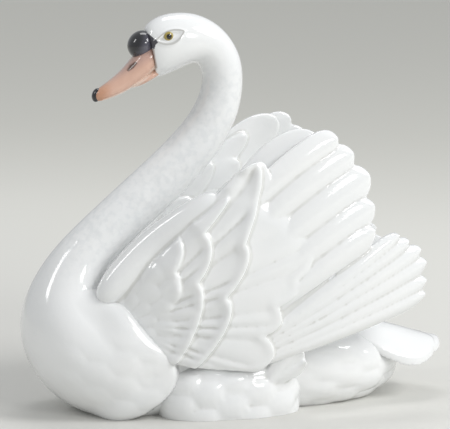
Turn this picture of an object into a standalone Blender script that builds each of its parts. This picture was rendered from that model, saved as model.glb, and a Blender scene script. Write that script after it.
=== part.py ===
"""Swan figurine in glazed porcelain: one casting, modelled as one solid.

The swan faces -X, its tail points along +X and its left side faces -Y. The foot stands on z = 0.
Design sizes are in millimetres, and the mesh is written in metres.
"""

import math

import bmesh
import bpy
from mathutils import Vector

MM = 0.001

# The body, from the rump forward and then up the neck to the bill. Each station is one ring
# across the swan: where it meets the belly, breast and throat line, where it meets the back
# and nape line, half of its width, and how square it is (2 is an ellipse).
BODY_STATIONS = (
    # front_x, front_z, back_x, back_z, half_width, squareness
    (86.0, 9.0, 88.0, 24.0, 10.0, 2.0),
    (76.0, 1.0, 78.0, 32.0, 21.0, 2.1),
    (55.0, -4.0, 56.0, 41.0, 29.0, 2.3),
    (28.0, -5.0, 28.0, 48.0, 34.0, 2.5),
    (0.0, -5.0, 0.0, 53.0, 36.0, 2.5),
    (-24.0, -5.0, -24.0, 56.0, 38.0, 2.5),
    (-46.0, -5.0, -42.0, 58.0, 39.5, 2.4),
    (-66.0, -3.5, -51.0, 60.0, 38.5, 2.3),
    (-84.0, 3.5, -57.0, 61.0, 36.5, 2.2),
    (-96.0, 15.5, -61.0, 61.5, 34.0, 2.1),
    (-103.0, 30.0, -63.0, 62.0, 31.0, 2.0),
    (-104.5, 43.0, -63.8, 63.0, 27.5, 2.0),
    (-102.5, 54.0, -63.8, 64.5, 24.0, 2.0),
    (-98.5, 64.0, -63.0, 66.5, 20.5, 2.0),
    (-92.5, 74.0, -61.5, 69.5, 17.5, 2.0),
    (-83.5, 85.0, -58.5, 74.0, 15.0, 2.0),
    (-70.5, 97.0, -52.0, 80.5, 13.2, 2.0),
    (-58.5, 107.5, -42.5, 89.5, 12.4, 2.0),
    (-47.5, 117.0, -31.0, 98.5, 12.0, 2.0),
    (-36.0, 127.0, -20.0, 109.0, 11.6, 2.0),
    (-25.5, 137.0, -9.5, 120.0, 11.2, 2.0),
    (-18.5, 145.0, -1.5, 130.0, 10.8, 2.0),
    (-14.0, 152.5, 4.5, 141.5, 10.4, 2.0),
    (-11.8, 159.0, 8.2, 153.0, 10.1, 2.0),
    (-11.2, 164.5, 9.0, 165.0, 10.0, 2.0),
    (-12.3, 169.0, 7.4, 174.5, 10.0, 2.0),
    (-14.8, 171.6, 3.0, 183.0, 10.3, 2.0),
    (-18.6, 171.0, -3.2, 189.6, 10.9, 2.0),
    (-23.0, 169.0, -10.8, 194.3, 11.8, 2.0),
    (-28.0, 167.0, -19.8, 196.7, 12.4, 2.0),
    (-33.0, 165.4, -29.5, 196.0, 12.2, 2.0),
    (-36.4, 164.4, -37.8, 192.4, 10.8, 2.0),
    (-39.0, 163.2, -43.0, 186.0, 9.0, 2.1),
    (-41.6, 161.8, -46.0, 177.0, 7.6, 2.3),
    (-45.0, 160.2, -49.4, 171.4, 6.6, 2.3),
    (-50.5, 157.8, -54.2, 166.8, 5.9, 2.3),
    (-57.5, 155.2, -60.4, 162.2, 5.2, 2.3),
    (-63.2, 153.6, -64.6, 159.4, 4.2, 2.2),
    (-66.2, 154.0, -66.9, 158.2, 2.4, 2.0),
)
BODY_RING_POINTS = 20
BODY_STEPS_PER_STATION = 1

# The foot: everything below this height is cut off flat.
FOOT_Z = 0.0

# The black knob over the bill, and the nail at its tip.
KNOB_CENTRE = (-42.8, 0.0, 181.0)
KNOB_RADII = (6.2, 5.6, 6.8)
KNOB_LEAN_DEG = 38.0
NAIL_CENTRE = (-65.4, 0.0, 156.6)
NAIL_RADII = (2.6, 2.9, 2.5)

# The wings lie on a dome: this is how far its surface is from the middle plane.
DOME_PEAK = 50.0
DOME_FALL = 20.0
DOME_X = 20.0
DOME_Z = 75.0
DOME_REACH_X = 90.0
DOME_REACH_Z = 110.0

# The cheeks of the breast, the shoulders where each wing's arm grows out of it, and the
# flank lobes beside the foot, each on both sides. An inset is how far the form's outermost
# point is inside the dome's peak, so that it keeps to the wing. A square of 2 is an ellipsoid.
CHEEK_CENTRE = (-52.5, 17.0, 23.5)
CHEEK_INSET = 10.2
CHEEK_RADII = (20.0, DOME_PEAK - CHEEK_INSET - CHEEK_CENTRE[1], 24.5)
CHEEK_SQUARE = 2.4
SHOULDER_CENTRE = (-66.0, 15.0, 42.0)
SHOULDER_INSET = 12.5
SHOULDER_RADII = (22.0, DOME_PEAK - SHOULDER_INSET - SHOULDER_CENTRE[1], 23.0)
SHOULDER_SQUARE = 2.2
FLANK_CENTRE = (-5.0, 22.0, 8.0)
FLANK_INSET = 7.5
FLANK_RADII = (36.0, DOME_PEAK - FLANK_INSET - FLANK_CENTRE[1], 21.0)
FLANK_SQUARE = 2.7

# The soft scale feathers on each flank lobe: the middle's x and z, and one size for all. They
# and the tuft are set by how far they are under the lobe's outermost point.
SCALE_PLACES = ((-22.0, 17.0), (-3.0, 20.0), (-12.0, 7.0), (8.0, 8.0))
SCALE_SINK = 5.5
SCALE_RADII = (14.0, 5.8, 9.5)

# The tuft that stands up behind the flank lobe: its root, its angle and its size.
TUFT_ROOT = (12.0, 17.0)
TUFT_SINK = 1.0
TUFT_ANGLE_DEG = 39.0
TUFT_LENGTH = 25.0
TUFT_WIDTH = 13.0
TUFT_THICK = 9.0
TUFT_LIFT = 5.0

# In front the wing dives under the breast, from here forward.
DIVE_START = -36.0
DIVE_REACH = 26.0
DIVE_DEPTH = 5.6

# The wing's core under the feathers, from the shoulder to the roots of the long feathers.
# Each ring: its upper end x and z, its lower end x and z, its thickness, and how far it is
# sunk under the dome.
WING_CORE = (
    (-64.0, 61.0, -58.0, 42.0, 12.0, 2.0),
    (-52.0, 75.5, -50.0, 34.0, 15.0, 1.8),
    (-36.0, 92.0, -37.0, 30.0, 16.0, 1.8),
    (-20.0, 106.0, -18.0, 28.0, 16.0, 1.8),
    (-3.0, 118.0, 0.0, 29.0, 13.5, 1.8),
    (14.0, 123.0, 13.0, 31.0, 8.0, 2.2),
    (30.0, 121.0, 27.0, 35.0, 5.0, 2.6),
)

# The arm is a roll behind the wing's front edge, from its round end up: its middle line's x
# and z, its radius, and how far it is inside the dome's peak.
ARM_LINE = (
    (-69.0, 58.5, 2.5, 25.0),
    (-66.0, 62.4, 6.2, 25.0),
    (-60.0, 69.0, 7.6, 24.5),
    (-52.0, 77.0, 8.2, 23.5),
    (-43.0, 86.0, 8.2, 21.5),
    (-33.0, 95.0, 7.4, 18.5),
    (-22.0, 104.5, 5.6, 14.5),
)
ARM_RING_POINTS = 8

# The coverts lie on the wing in four steps. A rim is a run of scallops: the point where one
# starts, its tip, the point where the next starts, its tip, and so on (x, z). Each step has its
# rim's height over the dome, the lip along the rim, and its reach towards the fan's centre.
FAN_CENTRE = (-61.0, 47.0)
COVERT_THICK = 4.4
COVERT_LIP_REACH = 1.5
COVERT_ROWS = (
    dict(name="covert_d", rise=0.2, lip=0.4, width=24.0, rim=(
        (-10.0, 120.0), (8.6, 121.0), (9.0, 111.0), (31.0, 90.5), (23.5, 69.2), (22.0, 61.5),
        (13.6, 56.4), (15.2, 47.5), (5.6, 42.0), (6.6, 33.5), (-1.0, 26.4))),
    dict(name="covert_c", rise=2.0, lip=0.8, width=17.0, rim=(
        (-12.0, 121.0), (8.0, 120.5), (-2.8, 87.8), (-2.2, 77.0), (-12.0, 61.8), (-11.2, 48.0),
        (-26.0, 27.0))),
    dict(name="covert_b", rise=2.1, lip=0.9, width=15.0, rim=(
        (-26.0, 99.5), (-10.5, 110.5), (-22.0, 94.0), (-19.2, 83.0), (-25.3, 69.6),
        (-24.6, 51.5), (-36.0, 28.0))),
    dict(name="covert_a", rise=1.5, lip=0.7, width=12.0, rim=(
        (-34.0, 92.0), (-32.6, 84.0), (-36.0, 75.0), (-33.8, 65.0), (-38.6, 55.5))),
)
SCALLOP_STEPS = 4

# Feather rows of a wing, each from its top feather to its bottom one. A row's tips lie on the
# curve through its tip points (x, z). Pairs run from the top feather to the bottom one. Angles
# are above the horizontal, towards the tail, and a bend adds to them along the feather.
OUTSIDE_ROWS = (
    dict(name="plume_low", tips=((78, 88), (93, 77), (94, 57)), count=6, length=(80, 94),
         angle=(34, 18), bend=(0, 0), overlap=1.6, lift=-0.4, thick=4.2),
    dict(name="plume_top", tips=((46, 138), (62, 119), (64, 92)), count=5, length=(66, 78),
         angle=(50, 37), bend=(-26, -6), overlap=1.45, lift=0.8, thick=4.2),
)
INSIDE_ROWS = (
    dict(name="lining_long", tips=((37, 138), (47, 124), (49, 104)), count=3, length=(56, 60),
         angle=(48, 32), bend=(-14, -4), overlap=1.45, lift=3.0, thick=4.4),
    dict(name="lining_far", tips=((20, 131), (14, 108), (6, 80)), count=4, length=(40, 34),
         angle=(48, 20), bend=(-6, 0), overlap=1.6, lift=3.2, thick=6.4),
    dict(name="lining_near", tips=((1, 117), (-7, 97), (-12, 74)), count=3, length=(34, 28),
         angle=(52, 26), bend=(-4, 0), overlap=1.6, lift=3.8, thick=7.0),
)

# A feather's cross-section and outline: how far its edges drop, as a share of half its width,
# how deep its root sinks, how narrow the root is, and how long its round tip is, by width.
FEATHER_CAMBER = 0.17
FEATHER_ROOT_SINK = 3.0
FEATHER_ROOT_SHARE = 0.62
FEATHER_TIP_SHARE = 0.8

# The tail fan: feathers from a root on the rump, spread to both sides and arched down to them.
TAIL_ROOT = (56.0, 43.0)
TAIL_COUNT = 5
TAIL_LENGTH = 57.0
TAIL_SIDE_LENGTH = 46.0
TAIL_SPREAD_DEG = 21.0
TAIL_WIDTH = 26.0
TAIL_FALL_DEG = 18.0
TAIL_THICK = 9.0
TAIL_ARCH = 12.0
TAIL_ARCH_REACH = 20.0

# The mantle: feathers along the back between the wings, as (tip x, tip y, length).
MANTLE_FEATHERS = ((34.0, 0.0, 34.0), (18.0, 12.0, 30.0), (18.0, -12.0, 30.0), (0.0, 0.0, 32.0))
MANTLE_WIDTH = 23.0
MANTLE_THICK = 7.0
MANTLE_LIFT = 3.6

GLAZE_WHITE = (0.89, 0.90, 0.91, 1.0)
GLAZE_ROUGHNESS = 0.12


def spline(points, share):
    """A point at this share of the way along a smooth curve through the points."""
    spans = len(points) - 1
    place = min(share * spans, spans - 1e-9)
    i = int(place)
    t = place - i
    before = points[max(i - 1, 0)]
    after = points[min(i + 2, spans)]
    mixed = []
    for a, b, c, d in zip(before, points[i], points[i + 1], after):
        slope_b = (c - a) / 2
        slope_c = (d - b) / 2
        mixed.append(
            (2 * t**3 - 3 * t**2 + 1) * b
            + (t**3 - 2 * t**2 + t) * slope_b
            + (3 * t**2 - 2 * t**3) * c
            + (t**3 - t**2) * slope_c
        )
    return mixed


def mix(a, b, share):
    """A value this share of the way from a to b."""
    return a + (b - a) * share


def power(value, exponent):
    """A signed power, for rounded squares."""
    return math.copysign(abs(value) ** exponent, value)


def add_object(name, mesh):
    """Links a new object that holds the mesh."""
    obj = bpy.data.objects.new(name, mesh)
    bpy.context.scene.collection.objects.link(obj)
    return obj


def loft(name, rings):
    """One closed solid through rings that hold the same number of points, in millimetres."""
    bm = bmesh.new()
    loops = [[bm.verts.new(Vector(point) * MM) for point in ring] for ring in rings]
    around = len(rings[0])
    for one, other in zip(loops, loops[1:]):
        for i in range(around):
            j = (i + 1) % around
            bm.faces.new((one[i], one[j], other[j], other[i]))
    bm.faces.new(loops[0][::-1])
    bm.faces.new(loops[-1])
    bmesh.ops.recalc_face_normals(bm, faces=bm.faces)
    mesh = bpy.data.meshes.new(name)
    bm.to_mesh(mesh)
    bm.free()
    return add_object(name, mesh)


def pebble(name, centre, radii, square=2.0, segments=16, rings=10, lean_deg=0.0):
    """A closed rounded form, an ellipsoid where square is 2, leaning forward about the Y axis."""
    bm = bmesh.new()
    bmesh.ops.create_uvsphere(bm, u_segments=segments, v_segments=rings, radius=1.0)
    for vert in bm.verts:
        vert.co = Vector(power(a, 2 / square) * b * MM for a, b in zip(vert.co, radii))
    mesh = bpy.data.meshes.new(name)
    bm.to_mesh(mesh)
    bm.free()
    obj = add_object(name, mesh)
    obj.location = Vector(centre) * MM
    obj.rotation_euler.y = math.radians(lean_deg)
    return obj


def body_ring(station):
    """The points of one ring of the body, square to the middle plane."""
    front_x, front_z, back_x, back_z, half_width, squareness = station
    centre = Vector(((front_x + back_x) / 2, 0.0, (front_z + back_z) / 2))
    reach = Vector(((back_x - front_x) / 2, 0.0, (back_z - front_z) / 2))
    ring = []
    for i in range(BODY_RING_POINTS):
        angle = math.tau * i / BODY_RING_POINTS
        along = power(math.cos(angle), 2 / squareness)
        across = power(math.sin(angle), 2 / squareness) * half_width
        ring.append(centre + reach * along + Vector((0.0, across, 0.0)))
    return ring


def make_body():
    """Rump, belly, breast, neck, head and bill in one loft."""
    steps = (len(BODY_STATIONS) - 1) * BODY_STEPS_PER_STATION
    rings = [body_ring(spline(BODY_STATIONS, i / steps)) for i in range(steps + 1)]
    return loft("swan", rings)


def dome(x, z):
    """How far the wing's outer surface is from the middle plane."""
    fall = ((x - DOME_X) / DOME_REACH_X) ** 2 + ((z - DOME_Z) / DOME_REACH_Z) ** 2
    dive = min(max((DIVE_START - x) / DIVE_REACH, 0.0), 1.0)
    return DOME_PEAK - DOME_FALL * fall - DIVE_DEPTH * dive**2 * (3 - 2 * dive)


def make_wing_core(side):
    """The slab that carries the feathers, thick at the arm and thin at the long feathers."""
    steps = (len(WING_CORE) - 1) * 2
    outer_shares = (0.0, 0.08, 0.25, 0.5, 0.75, 0.92, 1.0)
    rings = []
    for i in range(steps + 1):
        top_x, top_z, low_x, low_z, thickness, sink = spline(WING_CORE, i / steps)
        ring = []
        for face, shares in ((0.0, outer_shares), (1.0, outer_shares[-2:0:-1])):
            for share in shares:
                x = mix(top_x, low_x, share)
                z = mix(top_z, low_z, share)
                roundness = math.sqrt(max(0.0, 1 - (2 * share - 1) ** 4))
                depth = thickness * (0.5 + (face - 0.5) * roundness)
                ring.append((x, side * (dome(x, z) - sink - depth), z))
        rings.append(ring)
    return loft("wing_core", rings)


def scallops(rim):
    """Points along a rim: each scallop swings out to its tip and back."""
    points = []
    for start, tip, stop in zip(rim[0::2], rim[1::2], rim[2::2]):
        middle = (Vector(start) + Vector(stop)) / 2
        for i in range(SCALLOP_STEPS):
            share = i / SCALLOP_STEPS
            swing = math.sin(math.pi * share) ** 0.75
            points.append(Vector(start).lerp(Vector(stop), share) + (Vector(tip) - middle) * swing)
    return points + [Vector(rim[-1])]


def make_covert_row(row, place):
    """One step of coverts: a scalloped sheet with a raised lip, falling towards its root."""
    rings = []
    rise, lip, width = row["rise"], row["lip"], row["width"]
    profile = (
        (0.0, -COVERT_THICK), (0.2, rise + lip / 2), (COVERT_LIP_REACH, rise + lip),
        (width / 2, rise * 0.4), (width, -0.4), (width, -COVERT_THICK),
    )
    for point in scallops(row["rim"]):
        back = (Vector(FAN_CENTRE) - point).normalized()
        rings.append([place(*(point + back * off), height) for off, height in profile])
    return loft(row["name"], rings)


def make_arm(side):
    """The rolled arm behind the wing's front edge."""
    rings = []
    for i, (x, z, radius, inset) in enumerate(ARM_LINE):
        before = ARM_LINE[max(i - 1, 0)]
        after = ARM_LINE[min(i + 1, len(ARM_LINE) - 1)]
        heading = math.atan2(after[1] - before[1], after[0] - before[0])
        ring = []
        for j in range(ARM_RING_POINTS):
            angle = math.tau * j / ARM_RING_POINTS
            up = math.cos(angle) * radius
            y = side * (DOME_PEAK - inset + math.sin(angle) * radius)
            ring.append((x - math.sin(heading) * up, y, z + math.cos(heading) * up))
        rings.append(ring)
    return loft("arm", rings)


def lining_depth(x):
    """How far the core's inner face is under the dome at this x."""
    first = WING_CORE[0][0]
    last = WING_CORE[-1][0]
    share = min(max((x - first) / (last - first), 0.0), 1.0)
    ring = spline(WING_CORE, share)
    return ring[4] + ring[5]


def outline_share(u, tip):
    """A feather's width at this share of its length, where tip is the share of its round end."""
    swell = mix(FEATHER_ROOT_SHARE, 1.0, math.sin(min(u / (1 - tip), 1.0) * math.pi / 2))
    round_end = max(0.0, (u - 1 + tip) / tip)
    return swell * math.sqrt(1 - 0.98 * round_end**2)


def make_feather(name, root, shape, place):
    """A cambered blade. place(x, z, height) puts a point of the feather's plane in space."""
    tip = min(FEATHER_TIP_SHARE * shape["width"] / shape["length"], 0.6)
    stops = (0.0, mix(0.0, 1 - tip, 0.55), 1 - tip, 1 - 0.55 * tip, 1 - 0.18 * tip, 1.0)
    rings = []
    x, z = root
    previous = 0.0
    for u in stops:
        half_width = shape["width"] / 2 * outline_share(u, tip)
        heading = math.radians(shape["angle"] + shape["bend"] * u)
        x += math.cos(heading) * (u - previous) * shape["length"]
        z += math.sin(heading) * (u - previous) * shape["length"]
        previous = u
        base = shape["lift"] - FEATHER_ROOT_SINK * (1 - u)
        ring = []
        for across in (-1.0, -0.55, 0.0, 0.55, 1.0):
            height = base - FEATHER_CAMBER * half_width * across**2
            off = across * half_width
            ring.append(place(x - math.sin(heading) * off, z + math.cos(heading) * off, height))
        ring.append(place(x, z, base - shape["thick"] * mix(0.5, 1.0, outline_share(u, tip))))
        rings.append(ring)
    return loft(name, rings)


def row_feathers(row, place):
    """Every feather of one row of a wing."""
    count = row["count"]
    shares = [i / (count - 1) for i in range(count)]
    ends = [Vector(spline(row["tips"], share)) for share in shares]
    made = []
    for i, share in enumerate(shares):
        angle = mix(*row["angle"], share)
        bend = mix(*row["bend"], share)
        length = mix(*row["length"], share)
        first = max(i - 1, 0)
        last = min(i + 1, count - 1)
        step = (ends[last] - ends[first]) / (last - first)
        heading = math.radians(angle + bend)
        pitch = abs(step.x * math.sin(heading) - step.y * math.cos(heading))
        mean = math.radians(angle + bend / 2)
        root = ends[i] - Vector((math.cos(mean), math.sin(mean))) * length
        shape = dict(angle=angle, bend=bend, length=length, lift=row["lift"], thick=row["thick"])
        shape["width"] = pitch * row["overlap"]
        made.append(make_feather(f"{row['name']}_{i}", root, shape, place))
    return made


def make_wing(side):
    """One wing: its core and all its feathers."""

    def outside(x, z, height):
        return (x, side * (dome(x, z) + height), z)

    def inside(x, z, height):
        return (x, side * (dome(x, z) - lining_depth(x) - height), z)

    pieces = [make_wing_core(side), make_arm(side)]
    pieces += [make_covert_row(row, outside) for row in COVERT_ROWS]
    for row in OUTSIDE_ROWS:
        pieces += row_feathers(row, outside)
    for row in INSIDE_ROWS:
        pieces += row_feathers(row, inside)
    return pieces


def make_flank(side):
    """A flank lobe with its soft scale feathers, and the tuft behind it."""

    def beside(x, z, height):
        return (x, side * (DOME_PEAK - FLANK_INSET - TUFT_SINK + height), z)

    pieces = [pebble("flank", mirrored(FLANK_CENTRE, side), FLANK_RADII, FLANK_SQUARE)]
    for x, z in SCALE_PLACES:
        place = (x, side * (DOME_PEAK - FLANK_INSET - SCALE_SINK), z)
        pieces.append(pebble("scale", place, SCALE_RADII, segments=10, rings=6))
    tuft = dict(angle=TUFT_ANGLE_DEG, bend=0.0, length=TUFT_LENGTH, width=TUFT_WIDTH)
    tuft.update(lift=TUFT_LIFT, thick=TUFT_THICK)
    pieces.append(make_feather("tuft", TUFT_ROOT, tuft, beside))
    return pieces


def make_tail():
    """The tail fan, thick at the rump, with its feathers arched across."""

    def place(x, across, height):
        fall = math.tan(math.radians(TAIL_FALL_DEG)) * (x - TAIL_ROOT[0])
        arch = TAIL_ARCH * (across / TAIL_ARCH_REACH) ** 2
        return (x, across, TAIL_ROOT[1] + height - fall - arch)

    pieces = []
    for i in range(TAIL_COUNT):
        share = 2 * i / (TAIL_COUNT - 1) - 1
        shape = dict(angle=TAIL_SPREAD_DEG * share, bend=0.0, width=TAIL_WIDTH)
        shape["length"] = mix(TAIL_LENGTH, TAIL_SIDE_LENGTH, share**2)
        shape.update(lift=0.0, thick=TAIL_THICK)
        pieces.append(make_feather(f"tail_{i}", (TAIL_ROOT[0], 0.0), shape, place))
    return pieces


def back_height(x):
    """The height of the back at this x."""
    back = [(station[2], station[3]) for station in BODY_STATIONS[:8]]
    for (x0, z0), (x1, z1) in zip(back, back[1:]):
        if x1 <= x <= x0:
            return mix(z0, z1, (x - x0) / (x1 - x0))
    return back[0][1] if x > back[0][0] else back[-1][1]


def make_mantle():
    """The feathers that lie along the back."""

    def place(x, across, height):
        return (x, across, back_height(x) + height - across**2 / (2 * MANTLE_WIDTH))

    pieces = []
    for i, (x, across, length) in enumerate(MANTLE_FEATHERS):
        shape = dict(angle=0.0, bend=0.0, length=length, width=MANTLE_WIDTH)
        shape.update(lift=MANTLE_LIFT, thick=MANTLE_THICK)
        pieces.append(make_feather(f"mantle_{i}", (x - length, across), shape, place))
    return pieces


def mirrored(centre, side):
    """The same place on the other side of the swan."""
    return (centre[0], centre[1] * side, centre[2])


def all_pieces():
    """Every form that the casting is pressed together from, besides the body."""
    pieces = [
        pebble("knob", KNOB_CENTRE, KNOB_RADII, segments=12, rings=8, lean_deg=KNOB_LEAN_DEG),
        pebble("nail", NAIL_CENTRE, NAIL_RADII, segments=8, rings=6),
    ]
    for side in (-1, 1):
        cheek = mirrored(CHEEK_CENTRE, side)
        shoulder = mirrored(SHOULDER_CENTRE, side)
        pieces.append(pebble("cheek", cheek, CHEEK_RADII, CHEEK_SQUARE))
        pieces.append(pebble("shoulder", shoulder, SHOULDER_RADII, SHOULDER_SQUARE, 14, 8))
        pieces += make_flank(side)
        pieces += make_wing(side)
    return pieces + make_tail() + make_mantle()


def join_with(body, pieces):
    """Fuses the pieces to the body, as clay pieces are before firing."""
    group = bpy.data.collections.new("clay")
    for piece in pieces:
        bpy.context.scene.collection.objects.unlink(piece)
        group.objects.link(piece)
        piece.hide_render = True
        piece.display_type = "WIRE"
    union = body.modifiers.new("fused", "BOOLEAN")
    union.operation = "UNION"
    union.operand_type = "COLLECTION"
    union.collection = group
    bpy.context.scene.collection.children.link(group)
    group.hide_render = True


def cut_foot(body):
    """A block below the foot's height cuts the casting flat."""
    depth = 20.0
    bm = bmesh.new()
    bmesh.ops.create_cube(bm, size=1.0)
    for vert in bm.verts:
        vert.co = Vector((vert.co.x * 400, vert.co.y * 400, vert.co.z * depth)) * MM
    mesh = bpy.data.meshes.new("foot_cutter")
    bm.to_mesh(mesh)
    bm.free()
    cutter = add_object("foot_cutter", mesh)
    cutter.location.z = (FOOT_Z - depth / 2) * MM
    cutter.hide_render = True
    cutter.display_type = "WIRE"
    cut = body.modifiers.new("flat_foot", "BOOLEAN")
    cut.operation = "DIFFERENCE"
    cut.object = cutter


def glaze():
    """White glazed porcelain."""
    material = bpy.data.materials.new("white_glaze")
    material.use_nodes = True
    shader = material.node_tree.nodes["Principled BSDF"]
    shader.inputs["Base Color"].default_value = GLAZE_WHITE
    shader.inputs["Roughness"].default_value = GLAZE_ROUGHNESS
    shader.inputs["Metallic"].default_value = 0.0
    return material


def main():
    for old in list(bpy.data.objects):
        bpy.data.objects.remove(old)
    body = make_body()
    body.data.materials.append(glaze())
    join_with(body, all_pieces())
    cut_foot(body)


main()
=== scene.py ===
import math

import bpy
import numpy as np
from mathutils import Matrix, Vector


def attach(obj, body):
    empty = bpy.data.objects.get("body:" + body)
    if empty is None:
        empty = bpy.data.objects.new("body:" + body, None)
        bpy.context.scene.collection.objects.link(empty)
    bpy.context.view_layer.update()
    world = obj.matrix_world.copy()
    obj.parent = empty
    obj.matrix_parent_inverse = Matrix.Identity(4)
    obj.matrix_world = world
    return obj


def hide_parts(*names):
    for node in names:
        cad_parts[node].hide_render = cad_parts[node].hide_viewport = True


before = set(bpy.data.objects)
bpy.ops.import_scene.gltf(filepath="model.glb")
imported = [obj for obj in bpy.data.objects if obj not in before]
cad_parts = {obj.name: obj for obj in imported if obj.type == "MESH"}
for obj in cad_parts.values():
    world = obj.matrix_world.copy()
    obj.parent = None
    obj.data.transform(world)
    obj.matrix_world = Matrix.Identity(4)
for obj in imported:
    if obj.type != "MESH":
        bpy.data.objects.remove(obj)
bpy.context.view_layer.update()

# A swan cast in porcelain, glazed white, with a painted bill, knob and eyes. It faces -X, its
# left side faces -Y, and its foot stands on z = 0. Sizes are in millimetres, times MM.
MM = 0.001

# The body, from the rump forward and then up the neck to the face. A ring is where it meets
# the belly and throat line (x, z), where it meets the back and nape line (x, z), half of its
# width, and how square it is (2 is an ellipse).
BODY_RINGS = (
    (88.5, 13.0, 89.5, 22.0, 5.0, 2.0),
    (86.0, 9.0, 88.0, 25.0, 11.0, 2.0),
    (76.0, 1.0, 78.0, 32.5, 21.5, 2.1),
    (55.0, -4.0, 56.0, 41.5, 29.5, 2.3),
    (28.0, -5.0, 28.0, 48.0, 33.5, 2.5),
    (0.0, -5.0, 0.0, 53.0, 35.0, 2.5),
    (-20.0, -5.0, -20.0, 56.0, 34.0, 2.5),
    (-34.0, -5.0, -32.0, 57.0, 34.5, 2.4),
    (-43.0, -5.0, -40.0, 58.0, 36.5, 2.4),
    (-54.0, -5.0, -46.0, 59.0, 39.0, 2.4),
    (-68.0, -3.5, -51.0, 60.0, 39.5, 2.3),
    (-84.0, 3.5, -57.0, 61.0, 36.8, 2.2),
    (-96.0, 15.5, -61.0, 61.5, 34.0, 2.1),
    (-103.0, 30.0, -63.0, 62.0, 31.0, 2.0),
    (-104.8, 43.0, -63.8, 63.0, 27.5, 2.0),
    (-102.8, 54.0, -63.8, 64.5, 24.0, 2.0),
    (-98.7, 64.0, -63.0, 66.5, 20.5, 2.0),
    (-92.7, 74.0, -61.5, 69.5, 17.5, 2.0),
    (-83.7, 85.0, -58.3, 74.0, 15.0, 2.0),
    (-70.7, 97.0, -51.8, 80.5, 13.3, 2.0),
    (-58.7, 107.6, -42.3, 89.5, 12.5, 2.0),
    (-47.7, 117.1, -30.8, 98.5, 12.1, 2.0),
    (-36.2, 127.1, -19.8, 109.0, 11.7, 2.0),
    (-25.6, 137.1, -9.3, 120.0, 11.3, 2.0),
    (-18.6, 145.1, -1.3, 130.0, 10.9, 2.0),
    (-14.1, 152.6, 4.7, 141.5, 10.5, 2.0),
    (-11.9, 159.1, 8.4, 153.0, 10.2, 2.0),
    (-11.3, 164.6, 9.2, 165.0, 10.1, 2.0),
    (-12.4, 169.2, 7.6, 174.6, 10.1, 2.0),
    (-14.9, 171.9, 3.2, 183.2, 10.4, 2.0),
    (-18.6, 171.3, -3.0, 189.9, 11.0, 2.0),
    (-23.0, 169.2, -10.7, 194.6, 11.9, 2.0),
    (-28.0, 167.1, -19.8, 197.0, 12.5, 2.0),
    (-32.4, 165.5, -30.6, 196.3, 12.3, 2.0),
    (-34.4, 165.0, -36.8, 193.6, 11.4, 2.0),
    (-35.8, 165.2, -40.2, 190.4, 10.2, 2.1),
    (-36.6, 166.2, -40.8, 188.0, 9.1, 2.1),
    (-36.4, 169.0, -39.4, 184.6, 5.8, 2.0),
)
UPPER_BILL_RINGS = (
    (-33.0, 169.5, -37.0, 182.5, 7.5, 2.0),
    (-37.4, 167.4, -41.6, 181.5, 8.8, 2.2),
    (-40.4, 165.2, -45.6, 177.0, 8.7, 2.3),
    (-44.2, 162.8, -49.2, 172.4, 7.7, 2.3),
    (-49.6, 158.5, -53.8, 167.6, 6.6, 2.3),
    (-56.6, 155.6, -60.0, 163.0, 5.7, 2.3),
    (-62.0, 153.9, -64.2, 160.2, 4.6, 2.2),
    (-65.0, 153.7, -66.4, 158.6, 3.3, 2.0),
    (-66.2, 154.6, -66.9, 157.4, 1.6, 2.0),
)
LOWER_BILL_RINGS = (
    (-31.5, 167.6, -33.0, 170.8, 4.0, 2.0),
    (-36.4, 164.6, -38.6, 169.0, 7.2, 2.2),
    (-42.4, 161.2, -44.4, 165.4, 6.5, 2.2),
    (-48.0, 159.8, -49.6, 163.4, 4.6, 2.2),
    (-54.0, 158.4, -55.0, 160.6, 2.6, 2.0),
)
BILL_POINTS = 16
KNOB_CENTRE = (-42.6, 0.0, 181.2)
KNOB_RADII = (6.6, 8.0, 7.3)
KNOB_LEAN_DEG = 38.0
NAIL_CENTRE = (-65.1, 0.0, 156.9)
NAIL_RADII = (2.4, 2.9, 3.5)
NAIL_LEAN_DEG = 16.0
EYE_CENTRE = (-31.2, 8.9, 185.8)
EYE_RADIUS = 2.9

# The eyelids' outline, seen from the side: its middle (x, z), its lean, and how far it reaches
# along, above and below. A ridge runs just outside it, and the socket is sunk inside it. They
# are carved in front of LID_BACK, above LID_LOW and beyond LID_MIDDLE from the middle plane.
LID_CENTRE = (-30.6, 186.0)
LID_LEAN_DEG = 19.0
LID_REACH = 7.2
LID_ABOVE = 2.4
LID_BELOW = 3.4
LID_RIDGE = 0.45
LID_RIDGE_PLACE = 1.15
LID_RIDGE_WIDTH = 0.28
LID_BACK = -15.0
LID_LOW = 175.0
LID_MIDDLE = 3.0
SOCKET_DEPTH = 0.75

# Painted strokes on the head, seen from the side: points on each (x, z) and its half width.
KNOB_WEDGE = ((-42.0, 184.2, 3.4), (-38.7, 183.2, 1.5), (-37.3, 183.1, 0.4))
KNOB_WEDGE_LOW = ((-41.6, 182.0, 3.0), (-39.2, 181.4, 1.2), (-38.5, 180.2, 0.2))
BILL_EDGE = ((-38.6, 179.6, 0.05), (-38.2, 175.3, 0.2), (-36.9, 170.4, 0.15))
NOSTRIL = ((-46.8, 172.8, 0.15), (-48.6, 171.0, 0.4), (-50.4, 169.2, 0.0))
GAPE = (
    (-36.7, 171.0, 0.5), (-39.7, 167.5, 0.5), (-42.5, 165.0, 0.5), (-49.5, 159.4, 0.7),
    (-56.5, 156.2, 0.6), (-62.0, 154.4, 0.4),
)

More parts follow.
